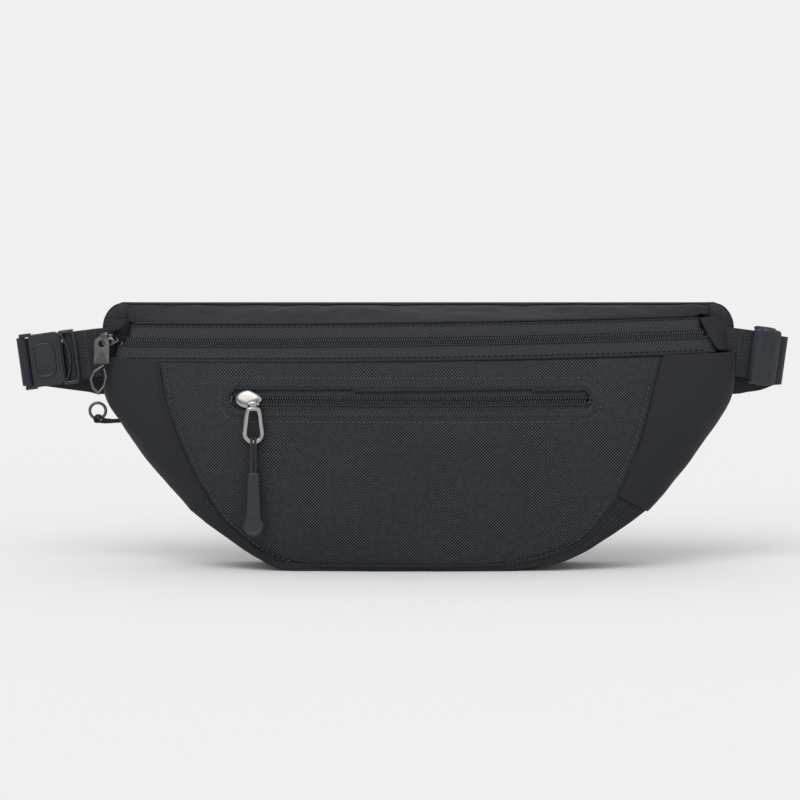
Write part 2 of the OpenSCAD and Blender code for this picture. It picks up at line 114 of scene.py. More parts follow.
# Seams of the sides, each as front seam x and z, then the silhouette's x, z and y.
SIDE_LEFT = [
    (-137, 109, -166.5, 111, 15), (-134, 91, -166, 90, 13), (-129.7, 78, -158, 76, 10),
    (-125, 66, -149.5, 65, 6), (-119, 52.5, -136.5, 48.5, 0), (-111.3, 39, -120, 31, -6),
]
GUSSET_LEFT = [
    (-111.3, 39, -120, 31, -6), (-103.9, 27.4, -110, 23.5, -9), (-92, 16.5, -97, 14.5, -12),
    (-83, 9.8, -86, 7.5, -13), (-69, 4.5, -73, 1.8, -14), (-56, 2.8, -57, 0, -14),
]
GUSSET_RIGHT = [
    (46, 3.2, 50, 0, -14), (68, 8, 72, 3.6, -14), (84, 14.5, 87, 10, -13),
    (93, 22.6, 98, 16.5, -12), (99, 31, 110, 24, -9), (104.5, 39.5, 120, 31, -6),
]
SIDE_RIGHT = [
    (104.5, 39.5, 120, 31, -6), (110, 52.5, 136.5, 49, 0), (116, 66, 149.5, 66, 6),
    (119.5, 78, 158, 77.5, 10), (123, 91, 165.5, 91, 13), (128.5, 112, 166.5, 113, 15),
]
CORNER = [(HALF_W - CORNER_X + CORNER_X * cos(a), BAG_H - CORNER_Z + CORNER_Z * sin(a))
          for a in range(0, 91, 15)]


# ---- Mesh makers ----
def new_object(name, verts, faces, uvs=None):
    mesh = bpy.data.meshes.new(name)
    mesh.from_pydata([Vector(v) * MM for v in verts], [], faces)
    if uvs:
        layer = mesh.uv_layers.new(name="weave")
        for loop in mesh.loops:
            layer.data[loop.index].uv = uvs[loop.vertex_index]
    mesh.polygons.foreach_set("use_smooth", [True] * len(mesh.polygons))
    obj = bpy.data.objects.new(name, mesh)
    bpy.context.scene.collection.objects.link(obj)
    return obj


def grid(name, rows, ring=False, skip=None, flat=False):
    """A sheet through rows of points, which closes on its first row if ring is true.

    Its UVs are lengths along the cloth in millimetres, or x and z if flat. skip tells which points
    lie in an opening."""
    count = len(rows[0])
    verts = [p for row in rows for p in row]
    middle = len(rows) // 2
    across = [0.0]
    for a, b in zip(rows[middle], rows[middle][1:]):
        across.append(across[-1] + (Vector(b) - Vector(a)).length)
    along = [0.0]
    for a, b in zip(rows, rows[1:]):
        along.append(along[-1] + (Vector(b[count // 2]) - Vector(a[count // 2])).length)
    uvs = [(p[0], p[2]) for p in verts] if flat else [(u, v) for v in along for u in across]
    faces = []
    for r in range(len(rows) if ring else len(rows) - 1):
        for c in range(count - 1):
            a, b = r * count + c, (r + 1) % len(rows) * count + c
            if skip and skip(verts[a]) and skip(verts[b + 1]):
                continue
            faces.append((a, a + 1, b + 1, b))
    return new_object(name, verts, faces, uvs)


def tube(name, path, radius, sides=10, closed=False):
    """A round tube along points."""
    pts = [Vector(p) for p in path]
    count = len(pts)
    verts, faces = [], []
    side = None
    for i, p in enumerate(pts):
        before = pts[(i - 1) % count] if closed else pts[max(i - 1, 0)]
        after = pts[(i + 1) % count] if closed else pts[min(i + 1, count - 1)]
        way = (after - before).normalized()
        if side is None:
            side = way.orthogonal().normalized()
        side = (side - way * side.dot(way)).normalized()
        other = way.cross(side)
        for k in range(sides):
            a = 2 * math.pi * k / sides
            verts.append(p + radius * (math.cos(a) * side + math.sin(a) * other))
    for i in range(count if closed else count - 1):
        for k in range(sides):
            a, b = i * sides, (i + 1) % count * sides
            n = (k + 1) % sides
            faces.append((a + k, a + n, b + n, b + k))
    if not closed:
        faces.append(tuple(range(sides))[::-1])
        faces.append(tuple((count - 1) * sides + k for k in range(sides)))
    return new_object(name, verts, faces)


def capsules(name, places, radius, sides=6):
    """Many small round-ended rods in one mesh. places are (start, end) pairs."""
    verts, faces = [], []
    for start, end in places:
        a, b = Vector(start), Vector(end)
        way = (b - a).normalized()
        side = way.orthogonal().normalized()
        other = way.cross(side)
        base = len(verts)
        for t, r in ((0, 0.45), (0.12, 0.9), (0.5, 1.0), (0.88, 0.9), (1, 0.45)):
            for k in range(sides):
                q = 2 * math.pi * k / sides
                verts.append(a.lerp(b, t) + radius * r * (math.cos(q) * side + math.sin(q) * other))
        for i in range(4):
            for k in range(sides):
                n = (k + 1) % sides
                faces.append((base + i * sides + k, base + i * sides + n,
                              base + (i + 1) * sides + n, base + (i + 1) * sides + k))
        faces.append(tuple(base + k for k in range(sides))[::-1])
        faces.append(tuple(base + 4 * sides + k for k in range(sides)))
    return new_object(name, verts, faces)


def modifier(obj, kind, **values):
    m = obj.modifiers.new(kind.lower(), kind)
    for key, value in values.items():
        setattr(m, key, value)


def thicken(obj, offset, thickness=CLOTH, smooth=False):
    """Gives a sheet its thickness, after one round of smoothing if asked."""
    if smooth:
        modifier(obj, "SUBSURF", levels=1, render_levels=1)
    modifier(obj, "SOLIDIFY", thickness=thickness * MM, offset=offset)


def cap_ends(obj, rows):
    """Closes a grid whose rows are loops, with a face over the first row and one over the last."""
    ring = len(rows[0])
    last = (len(rows) - 1) * ring
    faces = [tuple(p.vertices) for p in obj.data.polygons]
    faces += [tuple(range(ring - 1))[::-1], tuple(last + k for k in range(ring - 1))]
    mesh = bpy.data.meshes.new(obj.name + "_closed")
    mesh.from_pydata([v.co for v in obj.data.vertices], [], faces)
    obj.data = mesh


def place(obj, body, material, replaces=()):
    """Puts a finished piece on its body, with its finish and the CAD nodes it stands for."""
    obj.data.materials.clear()
    obj.data.materials.append(material)
    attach(obj, body)
    if replaces:
        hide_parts(*replaces)
    return obj


def ripple(p, size, amount, seed=0.0):
    """Smooth fixed noise at the point p, in waves of about that size."""
    return amount * noise.noise(Vector((p[0] / size + seed, p[1] / size, p[2] / size)))


def blunt(value, power):
    """The value's size to that power, with its sign kept: it squares a round outline off."""
    return math.copysign(abs(value) ** power, value)


# ---- Materials ----
class Nodes:
    """Short words for building a material's nodes."""

    def __init__(self, name, color, roughness, metallic=0.0, sheen=0.0, specular=0.5):
        self.material = bpy.data.materials.new(name)
        self.material.use_nodes = True
        self.tree = self.material.node_tree
        self.shader = self.tree.nodes["Principled BSDF"]
        self.set(self.shader, {
            "Base Color": (*color, 1), "Roughness": roughness, "Metallic": metallic,
            "Sheen Weight": sheen, "Sheen Roughness": 0.4, "Specular IOR Level": specular,
        })

    def set(self, node, values):
        for key, value in values.items():
            if isinstance(value, bpy.types.NodeSocket):
                self.tree.links.new(value, node.inputs[key])
            else:
                node.inputs[key].default_value = value
        return node

    def add(self, kind, values=None, **settings):
        node = self.tree.nodes.new("ShaderNode" + kind)
        for key, value in settings.items():
            setattr(node, key, value)
        return self.set(node, values or {})

    def math(self, operation, a, b=0.0):
        return self.add("Math", {0: a, 1: b}, operation=operation).outputs[0]

    def coords(self, source):
        return self.add("TexCoord").outputs[source]

    def wave(self, value, pitch, phase=0.0):
        """A sine of value with that pitch."""
        angle = self.math("MULTIPLY", value, 2 * math.pi / pitch)
        return self.math("SINE", self.math("ADD", angle, phase))

    def noise(self, where, scale, detail=3.0):
        values = {"Vector": where, "Scale": scale, "Detail": detail}
        return self.add("TexNoise", values).outputs["Fac"]

    def ramp(self, fac, low, high, a, b):
        values = {"Value": fac, "From Min": low, "From Max": high, "To Min": a, "To Max": b}
        return self.add("MapRange", values).outputs[0]

    def spread(self, fac, a, b):
        """Noise, which lies mostly between 0.3 and 0.7, carried to the range a to b."""
        return self.ramp(fac, 0.3, 0.7, a, b)

    def tint(self, fac, dark, light):
        node = self.add("Mix", {"Factor": fac}, data_type="RGBA")
        node.inputs["A"].default_value = (*dark, 1)
        node.inputs["B"].default_value = (*light, 1)
        return node.outputs["Result"]

    def finish(self, color=None, roughness=None, height=None, bump=0.3, distance=0.0004):
        if color is not None:
            self.set(self.shader, {"Base Color": color})
        if roughness is not None:
            self.set(self.shader, {"Roughness": roughness})
        if height is not None:
            node = self.add("Bump", {"Height": height, "Strength": bump, "Distance": distance})
            self.set(self.shader, {"Normal": node.outputs[0]})
        return self.material


def woven(name, dark, light, pitch, bump, roughness=0.75, sheen=0.08):
    """Cloth whose UVs are millimetres: two sets of threads cross, each over the other in turn."""
    n = Nodes(name, dark, roughness, sheen=sheen, specular=0.2)
    uv = n.add("SeparateXYZ", {"Vector": n.coords("UV")})
    across, along = uv.outputs[0], uv.outputs[1]
    cross = n.math("MULTIPLY", n.wave(across, pitch), n.wave(along, pitch))
    threads = n.math("MULTIPLY", n.wave(across, pitch / 2), n.wave(along, pitch / 2))
    slub = n.noise(n.coords("UV"), 0.35, 4.0)
    broad = n.noise(n.coords("Object"), 22.0, 2.0)
    shade = n.math("ADD", n.ramp(cross, -0.15, 0.85, 0.0, 0.9), n.spread(slub, -0.08, 0.14))
    shade = n.math("ADD", shade, n.spread(broad, -0.03, 0.03))
    height = n.math("ADD", cross, n.math("MULTIPLY", threads, 0.35))
    return n.finish(n.tint(shade, dark, light),
                    n.spread(slub, roughness - 0.07, roughness + 0.08), height, bump, 0.00012)


def herringbone(name, dark, light):
    """Zip tape: fine slanted ribs that turn back in bands across the tape."""
    n = Nodes(name, dark, 0.7, sheen=0.06, specular=0.2)
    uv = n.add("SeparateXYZ", {"Vector": n.coords("UV")})
    bands = n.math("PINGPONG", uv.outputs[0], 2.2)
    slant = n.math("ADD", uv.outputs[1], bands)
    rib = n.wave(slant, 1.5)
    edge = n.wave(uv.outputs[0], 4.4)
    height = n.math("ADD", rib, n.math("MULTIPLY", edge, 0.4))
    shade = n.ramp(rib, -0.8, 0.9, 0, 1)
    return n.finish(n.tint(shade, dark, light), None, height, 0.6, 0.00015)


def ribbed(name, dark, light):
    """Flat webbing: lengthwise cords with a fine cross weave."""
    n = Nodes(name, dark, 0.62, sheen=0.08, specular=0.25)
    uv = n.add("SeparateXYZ", {"Vector": n.coords("UV")})
    cords = n.math("ABSOLUTE", n.wave(uv.outputs[0], 3.6))
    picks = n.wave(n.math("ADD", uv.outputs[1], n.math("MULTIPLY", uv.outputs[0], 0.25)), 1.1)
    height = n.math("ADD", cords, n.math("MULTIPLY", picks, 0.3))
    shade = n.ramp(n.math("ADD", cords, picks), 0, 1.9, 0, 1)
    return n.finish(n.tint(shade, dark, light), None, height, 0.45, 0.0002)


def metal(name, color, roughness):
    """Plated metal, with broad smears in its shine."""
    n = Nodes(name, color, roughness, metallic=1.0)
    smear = n.noise(n.coords("Object"), 260.0, 3.0)
    dark = tuple(0.86 * c for c in color)
    return n.finish(n.tint(smear, dark, color), n.spread(smear, roughness - 0.05, roughness + 0.1),
                    n.noise(n.coords("Object"), 900.0), 0.05, 0.0001)


def moulded(name, color, roughness, grain, bump):
    """Moulded plastic or rubber with a fine matt grain."""
    n = Nodes(name, color, roughness)
    fine = n.noise(n.coords("Object"), grain, 4.0)
    worn = n.noise(n.coords("Object"), 90.0, 2.0)
    dark, light = (tuple(f * c for c in color) for f in (0.8, 1.2))
    return n.finish(n.tint(worn, dark, light), n.spread(worn, roughness - 0.06, roughness + 0.06),
                    fine, bump, 0.00012)


def braid(name, dark, light):
    """Cord whose strands cross in two slants."""
    n = Nodes(name, dark, 0.75, sheen=0.2)
    where = n.add("SeparateXYZ", {"Vector": n.coords("Object")})
    x = n.math("MULTIPLY", where.outputs[0], 1400.0)
    z = n.math("MULTIPLY", where.outputs[2], 2300.0)
    slant, back = n.math("ADD", x, z), n.math("SUBTRACT", x, z)
    cross = n.math("MULTIPLY", n.math("SINE", slant), n.math("SINE", back))
    return n.finish(n.tint(n.ramp(cross, -1, 1, 0, 1), dark, light), None, cross, 0.6, 0.0002)


# Cloths: the dark and the light colour, the threads' pitch in millimetres and the bump's strength.
FRONT_CLOTH = woven("front_cloth", (0.0085, 0.0098, 0.0125), (0.068, 0.077, 0.091), 1.7, 0.8)
GUSSET_CLOTH = woven("gusset_cloth_weave", (0.008, 0.009, 0.012), (0.040, 0.045, 0.054), 1.5, 0.6)
SIDE_CLOTH = woven("side_cloth", (0.013, 0.0140, 0.0175), (0.034, 0.037, 0.045), 0.9, 0.35)
# The top's cloth is a weave like the front's, with lighter, bluer tints: a painted sheen of the
# top, which faces the light.
TOP_CLOTH_PAINTED_SHEEN = woven("top_cloth_painted_sheen", (0.010, 0.0105, 0.014), (0.075, 0.077, 0.095), 1.6, 0.7)
BACK_CLOTH = woven("back_cloth", (0.011, 0.0115, 0.014), (0.070, 0.073, 0.082), 3.0, 0.9)
LINING = woven("lining_cloth", (0.035, 0.037, 0.042), (0.06, 0.062, 0.07), 0.7, 0.2)
BINDING = woven("binding_cloth", (0.014, 0.015, 0.019), (0.036, 0.038, 0.046), 0.9, 0.4)
TAPE = herringbone("zip_tape_cloth", (0.004, 0.0045, 0.006), (0.062, 0.068, 0.078))
WEBBING = ribbed("webbing_cloth", (0.012, 0.0135, 0.018), (0.034, 0.039, 0.050))
COIL = moulded("coil_nylon", (0.026, 0.029, 0.031), 0.45, 700.0, 0.1)
POCKET_COIL = moulded("pocket_coil_nylon", (0.022, 0.029, 0.026), 0.45, 700.0, 0.1)
THREAD = moulded("sewing_thread", (0.045, 0.050, 0.060), 0.6, 2500.0, 0.4)
# Near black: the colour of the zip's stitching thread, and on the zip's hems a painted shadow line.
THREAD_AND_SHADOW_LINE = moulded("thread_and_painted_shadow_line", (0.006, 0.006, 0.009), 0.7, 2500.0, 0.4)
DARK_METAL = metal("gunmetal", (0.13, 0.128, 0.132), 0.22)
BRIGHT_METAL = metal("pocket_gunmetal", (0.46, 0.445, 0.43), 0.15)
PLASTIC = moulded("buckle_acetal", (0.013, 0.0165, 0.024), 0.36, 1500.0, 0.12)
RUBBER = moulded("puller_rubber", (0.017, 0.020, 0.024), 0.5, 1200.0, 0.2)
CORD = braid("cord_braid", (0.006, 0.006, 0.007), (0.03, 0.03, 0.034))


# ---- Camera, floor and lights ----
def studio():
    target = Vector((-9.74, 0, 88.6)) * MM
    away = Vector((0, -cos(5.5), sin(5.5)))
    data = bpy.data.cameras.new("camera")
    data.lens = 188.2
    data.sensor_width = 36
    camera = bpy.data.objects.new("camera", data)
    camera.location = target + away * 2.2
    camera.rotation_euler = away.to_track_quat("Z", "Y").to_euler()
    bpy.context.scene.collection.objects.link(camera)
    bpy.context.scene.camera = camera

    world = bpy.data.worlds.new("studio")
    world.use_nodes = True
    tree = world.node_tree
    up = tree.nodes.new("ShaderNodeSeparateXYZ")
    sky = tree.nodes.new("ShaderNodeMapRange")
    sky.inputs["From Min"].default_value = -0.15
    sky.inputs["To Min"].default_value = 0.22
    sky.inputs["To Max"].default_value = 0.85
    tree.links.new(tree.nodes.new("ShaderNodeTexCoord").outputs["Generated"], up.inputs[0])
    tree.links.new(up.outputs[2], sky.inputs["Value"])
    tree.links.new(sky.outputs[0], tree.nodes["Background"].inputs["Strength"])
    tree.nodes["Background"].inputs["Color"].default_value = (1, 1, 1, 1)
    bpy.context.scene.world = world
    bpy.context.scene.view_settings.view_transform = "Standard"

    n = Nodes("floor_paper", (0.80, 0.80, 0.80), 0.95, specular=0.0)
    patches = n.noise(n.coords("Object"), 3.0, 2.0)
    n.finish(n.tint(patches, (0.853, 0.853, 0.853), (0.86, 0.86, 0.86)))
    rows = [[(x, y, -0.3) for x in (-90000, 0, 90000)] for y in (-9000, 0, 9000, 900000)]
    floor = grid("floor", rows)
    floor.data.materials.append(n.material)

    suns = (("key", (46, 0, -30), 0.80, 50), ("fill", (64, 0, 42), 0.30, 60),
            ("rim", (-35, 0, 160), 0.50, 30))
    for name, turn, strength, angle in suns:
        light = bpy.data.lights.new(name, "SUN")
        light.energy = strength
        light.angle = math.radians(angle)
        lamp = bpy.data.objects.new(name, light)
        lamp.rotation_euler = [math.radians(a) for a in turn]
        bpy.context.scene.collection.objects.link(lamp)


studio()


# ---- Places on the zips ----
def roll(p):
    """Turns a point about the y axis by the zip's tilt."""
    c, s = cos(ZIP_TILT), sin(ZIP_TILT)
    return [p[0] * c - p[2] * s, p[1], p[0] * s + p[2] * c]


def arc_place(x, radius, y, z):
    """Carries the section point (y, z) along the front's plan arc to x, as measured at radius."""
    a = math.asin(x / radius)
    return [(AXIS_Y - y) * math.sin(a), AXIS_Y - (AXIS_Y - y) * math.cos(a), z]


def on_zip(x, out, up=0.0):
    """The point of the main zip at x along it, out from its face and up across its band."""
    y = ZIP_Y - out * cos(ZIP_LEAN) + up * sin(ZIP_LEAN)
    z = ZIP_Z + out * sin(ZIP_LEAN) + up * cos(ZIP_LEAN)
    return roll(arc_place(x, ZIP_R, y, z))


def on_pocket(x, out, up=0.0):
    """The same for the pocket's zip."""
    y = profile_y(POCKET_Z) - out * cos(POCKET_LEAN) + up * sin(POCKET_LEAN)
    z = POCKET_Z + out * sin(POCKET_LEAN) + up * cos(POCKET_LEAN)
    return arc_place(x, AXIS_Y - profile_y(POCKET_Z), y, z)


def slot_distance(x, z):
    """Distance outside the pocket's stadium-shaped opening; negative inside it."""
    nearest = min(max(x, POCKET_L + POCKET_H / 2), POCKET_R - POCKET_H / 2)
    return math.hypot(x - nearest, z - POCKET_Z) - POCKET_H / 2


# ---- Front panel ----
def crossing(points, z, past):
    """The x where a line of points reaches the height z, or past if it doesn't."""
    for a, b in zip(points, points[1:]):
        if (a[1] - z) * (b[1] - z) <= 0:
            return mix(a[0], b[0], (z - a[1]) / (b[1] - a[1] or 1))
    return past


def seam_x(stations, z):
    return crossing(stations, z, stations[-1][0])


SEAM_LEFT = spline(SIDE_LEFT, 6) + spline(GUSSET_LEFT, 6)[1:]
SEAM_RIGHT = spline(GUSSET_RIGHT, 6) + spline(SIDE_RIGHT, 6)[1:]


def front_point(x, z, v):
    """A point of the front panel: crowned edges, soft bulges, a groove at each row of stitches."""
    edge = min(x - seam_x(SEAM_LEFT, z), seam_x(SEAM_RIGHT, z) - x)
    low = max(z - 3, 0)
    out = -1.0 * math.exp(-max(edge, 0) / 2.2) - 0.7 * math.exp(-low / 2.5)
    out -= 0.35 * math.exp(-((edge - SEAM_STITCH) / 0.7) ** 2)
    p = (x, 0, z)
    out += ripple(p, 46, 1.5, 3.1) + ripple(p, 17, 0.5, 9.4)
    out += ripple((x, 0, z * 0.35), 9, 0.18, 5.7)
    d = slot_distance(x, z)
    out = mix(0.35, out, min(max(d - 3, 0) / 14, 1))
    out -= 0.22 * math.exp(-((d - 5.6) / 0.55) ** 2)
    if v > 0.96:
        out = mix(out, 0, (v - 0.96) / 0.04)
    return [x, front_y(x, z) - out, z]


def front_panel():
    across, up = 190, 92
    rows = []
    for r in range(up + 1):
        v = r / up
        left, right = mix(PANEL_LOW_LEFT, 108.5, v), mix(PANEL_LOW_RIGHT, 112.2, v)
        a, b = seam_x(SEAM_LEFT, left), seam_x(SEAM_RIGHT, right)
        row = []
        for c in range(across + 1):
            u = c / across
            x, z = mix(a, b, u), mix(left, right, u)
            z = mix(z, min(z, PANEL_TOP + x * ZIP_SLOPE), v)
            row.append(front_point(x, z, v))
        rows.append(row)
    panel = grid("front_cloth_panel", rows, flat=True,
                 skip=lambda p: slot_distance(p[0], p[2]) < -0.6)
    thicken(panel, -1)
    place(panel, "bag", FRONT_CLOTH, ["front_panel"])


front_panel()


# ---- Sides, bottom and corners ----
def wrap_row(s, count=13):
    """A row from the front seam round to the back, as the CAD panels run."""
    start = front_y(s[0], s[1]) + 0.1
    row = []
    for i in range(count):
        a = 90 * i / (count - 1)
        row.append([mix(s[0], s[2], sin(a)), mix(start, s[4], 1 - cos(a)), mix(s[1], s[3], sin(a))])
    for t in (0.2, 0.4, 0.6, 0.8, 1.0):
        row.append([s[2], mix(s[4], BACK, t), s[3]])
    return row


def soften(rows, size, amount, seed, centre):
    """Pushes a sheet in and out along the lines from the centre, and draws its rows' ends in.

    The push fades out at the first and the last row, so that the sheet meets its neighbours."""
    out = []
    for i, row in enumerate(rows):
        new = []
        fade = min(i, len(rows) - 1 - i, 6) / 6
        for k, p in enumerate(row):
            v = Vector(p)
            way = (v - Vector(centre)).normalized()
            push = ripple(p, size, amount, seed) + ripple(p, size / 3, amount * 0.35, seed + 4)
            push -= 0.9 * math.exp(-k / 1.1) + 0.5 * math.exp(-(len(row) - 1 - k) / 1.1)
            new.append(list(v + way * push * fade))
        out.append(new)
    return out


def sides():
    for name, stations, x, node in (("side_cloth_left", SIDE_LEFT, -90, "side_panel_left"),
                                    ("side_cloth_right", SIDE_RIGHT, 90, "side_panel_right")):
        rows = [wrap_row(s, 17) for s in spline(stations, 10)]
        panel = grid(name, soften(rows, 24, 1.0, 2.0, (x, 10, 70)))
        thicken(panel, 1 if x > 0 else -1, smooth=True)
        place(panel, "bag", SIDE_CLOTH, [node])
    left, right = spline(GUSSET_LEFT, 6), spline(GUSSET_RIGHT, 6)
    middle = [[mix(a, b, i / 16) for a, b in zip(left[-1], right[0])] for i in range(1, 16)]
    rows = [wrap_row(s) for s in left + middle + right]
    gusset = grid("gusset_cloth", soften(rows, 30, 0.8, 6.0, (0, 10, 90)))
    thicken(gusset, -1, smooth=True)
    place(gusset, "bag", GUSSET_CLOTH, ["bottom_gusset"])


sides()


def corners():
    for side, name in ((-1, "corner_left"), (1, "corner_right")):
        rows = []
        for i in range(13):
            t = i / 12
            k = min(int(t * 6), 5)
            edge = [mix(CORNER[k][j], CORNER[k + 1][j], t * 6 - k) for j in (0, 1)]
            inner = [side * (ZIP_HALF - 3), mix(21.4, BACK - 1.4, t), mix(113.5, BAG_H - 0.3, t)]
            outer = [side * edge[0], mix(20, BACK - 1.8, t), 113.5 if i == 0 else edge[1]]
            rows.append([[mix(a, b, m / 8) for a, b in zip(inner, outer)] for m in range(9)])
        for row in rows:
            for m, p in enumerate(row):
                p[1] -= 1.3 * sin(180 * m / 8) + ripple(p, 7, 0.8, 1.5)
        corner = grid(name + "_cloth", rows)
        thicken(corner, 0, smooth=True)
        place(corner, "bag", TOP_CLOTH_PAINTED_SHEEN, [name])


corners()


# ---- Lid ----
def tape_top(x):
    """The upper edge of the zip's upper tape, at the place x."""
    s = ZIP_BAND / 2 + 1.1
    r = AXIS_Y - ZIP_Y - s * sin(ZIP_LEAN)
    return [x, AXIS_Y - math.sqrt(r * r - x * x), ZIP_Z + s * cos(ZIP_LEAN) + x * ZIP_SLOPE]


def top_point(x, t):
    """A point of the top panel, t of the way from the zip to the back."""
    low, high = tape_top(x), (x, BACK - 2, BAG_H - 0.3)
    p = [mix(a, b, t) for a, b in zip(low, high)]
    inside = sin(180 * t)
    fold = ripple((x, p[1] * 1.6, 0), 30, 2.2, 7.7) + ripple((x * 1.4, p[1] * 2.2, 0), 13, 0.9, 2.9)
    p[2] += 1.6 * inside + fold * inside ** 0.6
    p[1] -= 0.6 * fold * inside
    end = min(x + ZIP_HALF, ZIP_HALF - x)
    p[2] -= 0.8 * math.exp(-end / 2.5) * inside
    return p


def lid():
    rows = [[top_point(mix(-ZIP_HALF, ZIP_HALF, i / 130), k / 16) for k in range(17)]
            for i in range(131)]
    panel = grid("top_cloth_panel", rows)
    thicken(panel, 1, smooth=True)
    place(panel, "lid", TOP_CLOTH_PAINTED_SHEEN, ["top_panel"])
    rows = []
    for i in range(81):
        x = mix(-ZIP_HALF, ZIP_HALF, i / 80)
        edge, inner = top_point(x, 1), top_point(x, 0.93)
        rows.append([[x, 24.7, 137.4], [x, 24.2, 137.9], [x, 23.4, 138.0],
                     [x, edge[1] + 0.3, edge[2] + 0.7], [x, inner[1], inner[2] + 0.55]])
    fold = grid("lid_hinge_cloth", rows)
    thicken(fold, 0, 0.6)
    fold.data.materials.append(TOP_CLOTH_PAINTED_SHEEN)
    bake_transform(fold)


lid()


# ---- Main zip ----
def strip(name, maker, x0, x1, ups, out, steps=120):
    """A tape along a zip: maker is on_zip or on_pocket, ups the places across it."""
    rows = [[maker(mix(x0, x1, i / steps), out, up) for up in ups] for i in range(steps + 1)]
    return grid(name, rows)


def teeth(name, maker, x0, x1, out, low, high, pitch, shift=0.0):
    """One side of a coil: a row of rods across the zip, each with its loop end at the middle."""
    count = int((x1 - x0) / pitch)
    places = []
    for i in range(count):
        x = x0 + (i + 0.5 + shift) * pitch
        places.append((maker(x - 0.12, out, low), maker(x + 0.12, out, high)))
    return capsules(name, places, 0.42)


def stitches(name, points, body, length=2.1, gap=0.9, radius=0.26, material=THREAD):
    """A sewn row along points: short threads that dip into the cloth at both ends."""
    path = [Vector(p) for p in points]
    places, travelled, start = [], 0.0, None
    for a, b in zip(path, path[1:]):
        span = (b - a).length
        at = 0.0
        while at < span:
            phase = (travelled + at) % (length + gap)
            if phase < 0.05 and start is None:
                start = a.lerp(b, at / span)
            if start is not None and phase >= length:
                places.append((start, a.lerp(b, at / span)))
                start = None
            at += 0.05
        travelled += span
    place(capsules(name, places, radius, 5), body, material)


def main_zip():
    ups = [-10.75, -10.2, -9.2, -7.2, -5.2, -3.4, -2.4, -1.7, -0.9]
    lower = strip("zip_tape_lower_cloth", on_zip, -ZIP_HALF - 3, ZIP_HALF + 3, ups, -0.1)
    upper = strip("zip_tape_upper_cloth", on_zip, -ZIP_HALF + 2.5, ZIP_HALF - 2.5,
                  [-u for u in ups], -0.1)
    thicken(lower, 1, 0.6)
    thicken(upper, -1, 0.6)
    place(lower, "bag", TAPE, ["zip_tape_lower"])
    place(upper, "lid", TAPE, ["zip_tape_upper"])
    x = ZIP_HALF - 1
    for side, body, low, high, shift in (("lower", "bag", -1.9, 0.15, 0.0),
                                         ("upper", "lid", 1.9, -0.15, 0.5)):
        coil = teeth("zip_teeth_" + side, on_zip, -x, x, 0.38, low, high, 1.25, shift)
        place(coil, body, COIL, ["zip_coil_" + side])
    for name, body, up in (("zip_cord_lower", "bag", -2.35), ("zip_cord_upper", "lid", 2.35)):
        cord = tube(name, [on_zip(mix(-x, x, i / 90), 0.25, up) for i in range(91)], 0.42, 6)
        place(cord, body, TAPE)
    along = [mix(-ZIP_HALF + 3, ZIP_HALF - 3, i / 120) for i in range(121)]
    for side, body, up in (("lower", "bag", -9.2), ("upper", "lid", 9.2)):
        row = [on_zip(v, 0.15, up) for v in along]
        stitches("stitch_zip_" + side, row, body, material=THREAD_AND_SHADOW_LINE)
    # The hem tubes are near black: painted shadow lines along the band's edges, where the cloth
    # folds over the tape.
    hem = tube("hem_zip_lower_painted_shadow", [on_zip(v * 1.02, 0.1, -10.9) for v in along], 0.85, 8)
    place(hem, "bag", THREAD_AND_SHADOW_LINE)
    hem = tube("hem_zip_upper_painted_shadow", [on_zip(v, 0.2, 11.1) for v in along], 0.8, 8)
    place(hem, "lid", THREAD_AND_SHADOW_LINE)


main_zip()


# ---- Front pocket ----
def stadium(d):
    """Points round the pocket's opening at the distance d outside it."""
    count, turn = 150, 24
    r = POCKET_H / 2 + d
    a, b = POCKET_L + POCKET_H / 2, POCKET_R - POCKET_H / 2
    out = []
    for i in range(count):
        x = mix(a, b, i / count)
        out.append((x, POCKET_Z + r))
    for i in range(turn):
        t = 90 - 180 * i / turn
        out.append((b + r * cos(t), POCKET_Z + r * sin(t)))
    for i in range(count):
        out.append((mix(b, a, i / count), POCKET_Z - r))
    for i in range(turn):
        t = 270 - 180 * i / turn
        out.append((a + r * cos(t), POCKET_Z + r * sin(t)))
    return out


def on_front(x, z, out):
    return [x, front_y(x, z) - out, z]


def pocket():
    profile = [(-0.2, -1.3), (-0.35, -0.4), (0.0, 0.35), (0.5, 0.72),
               (1.2, 0.85), (1.9, 0.75), (2.5, 0.5), (3.0, 0.1)]
    rings = [stadium(d) for d, out in profile]
    rows = [[on_front(*ring[i], out) for ring, (d, out) in zip(rings, profile)]
            for i in range(len(rings[0]))]
    welt = grid("pocket_welt_cloth", rows, ring=True)
    place(welt, "bag", FRONT_CLOTH, ["pocket_welt"])
    ring = stadium(4.9)
    row = [on_front(x, z, 0.22) for x, z in ring + ring[:1]]
    stitches("stitch_pocket", row, "bag", 1.9, 1.0, 0.32)
    for name, ups in (("pocket_tape_upper", [0.8, 2.2, 4.5, 6.5, 9]),
                      ("pocket_tape_lower", [-9, -6.5, -4.5, -2.2, -0.8])):
        tape = strip(name + "_cloth", on_pocket, POCKET_L - 2, POCKET_R + 2, ups, -1.6, 60)
        thicken(tape, 0, 0.5)
        place(tape, "bag", TAPE, [name])
    a, b = POCKET_L + 2.6, POCKET_R - 2.6
    for name, low, high, shift in (("upper", 2.0, -0.1, 0.5), ("lower", -2.0, 0.1, 0.0)):
        coil = teeth("pocket_teeth_" + name, on_pocket, a, b, -0.9, low, high, 1.3, shift)
        place(coil, "bag", POCKET_COIL, ["pocket_coil_" + name])
    for name, up in (("pocket_cord_upper", 2.5), ("pocket_cord_lower", -2.5)):
        path = [on_pocket(mix(a, b, i / 60), -1.1, up) for i in range(61)]
        place(tube(name, path, 0.5, 6), "bag", TAPE)


pocket()


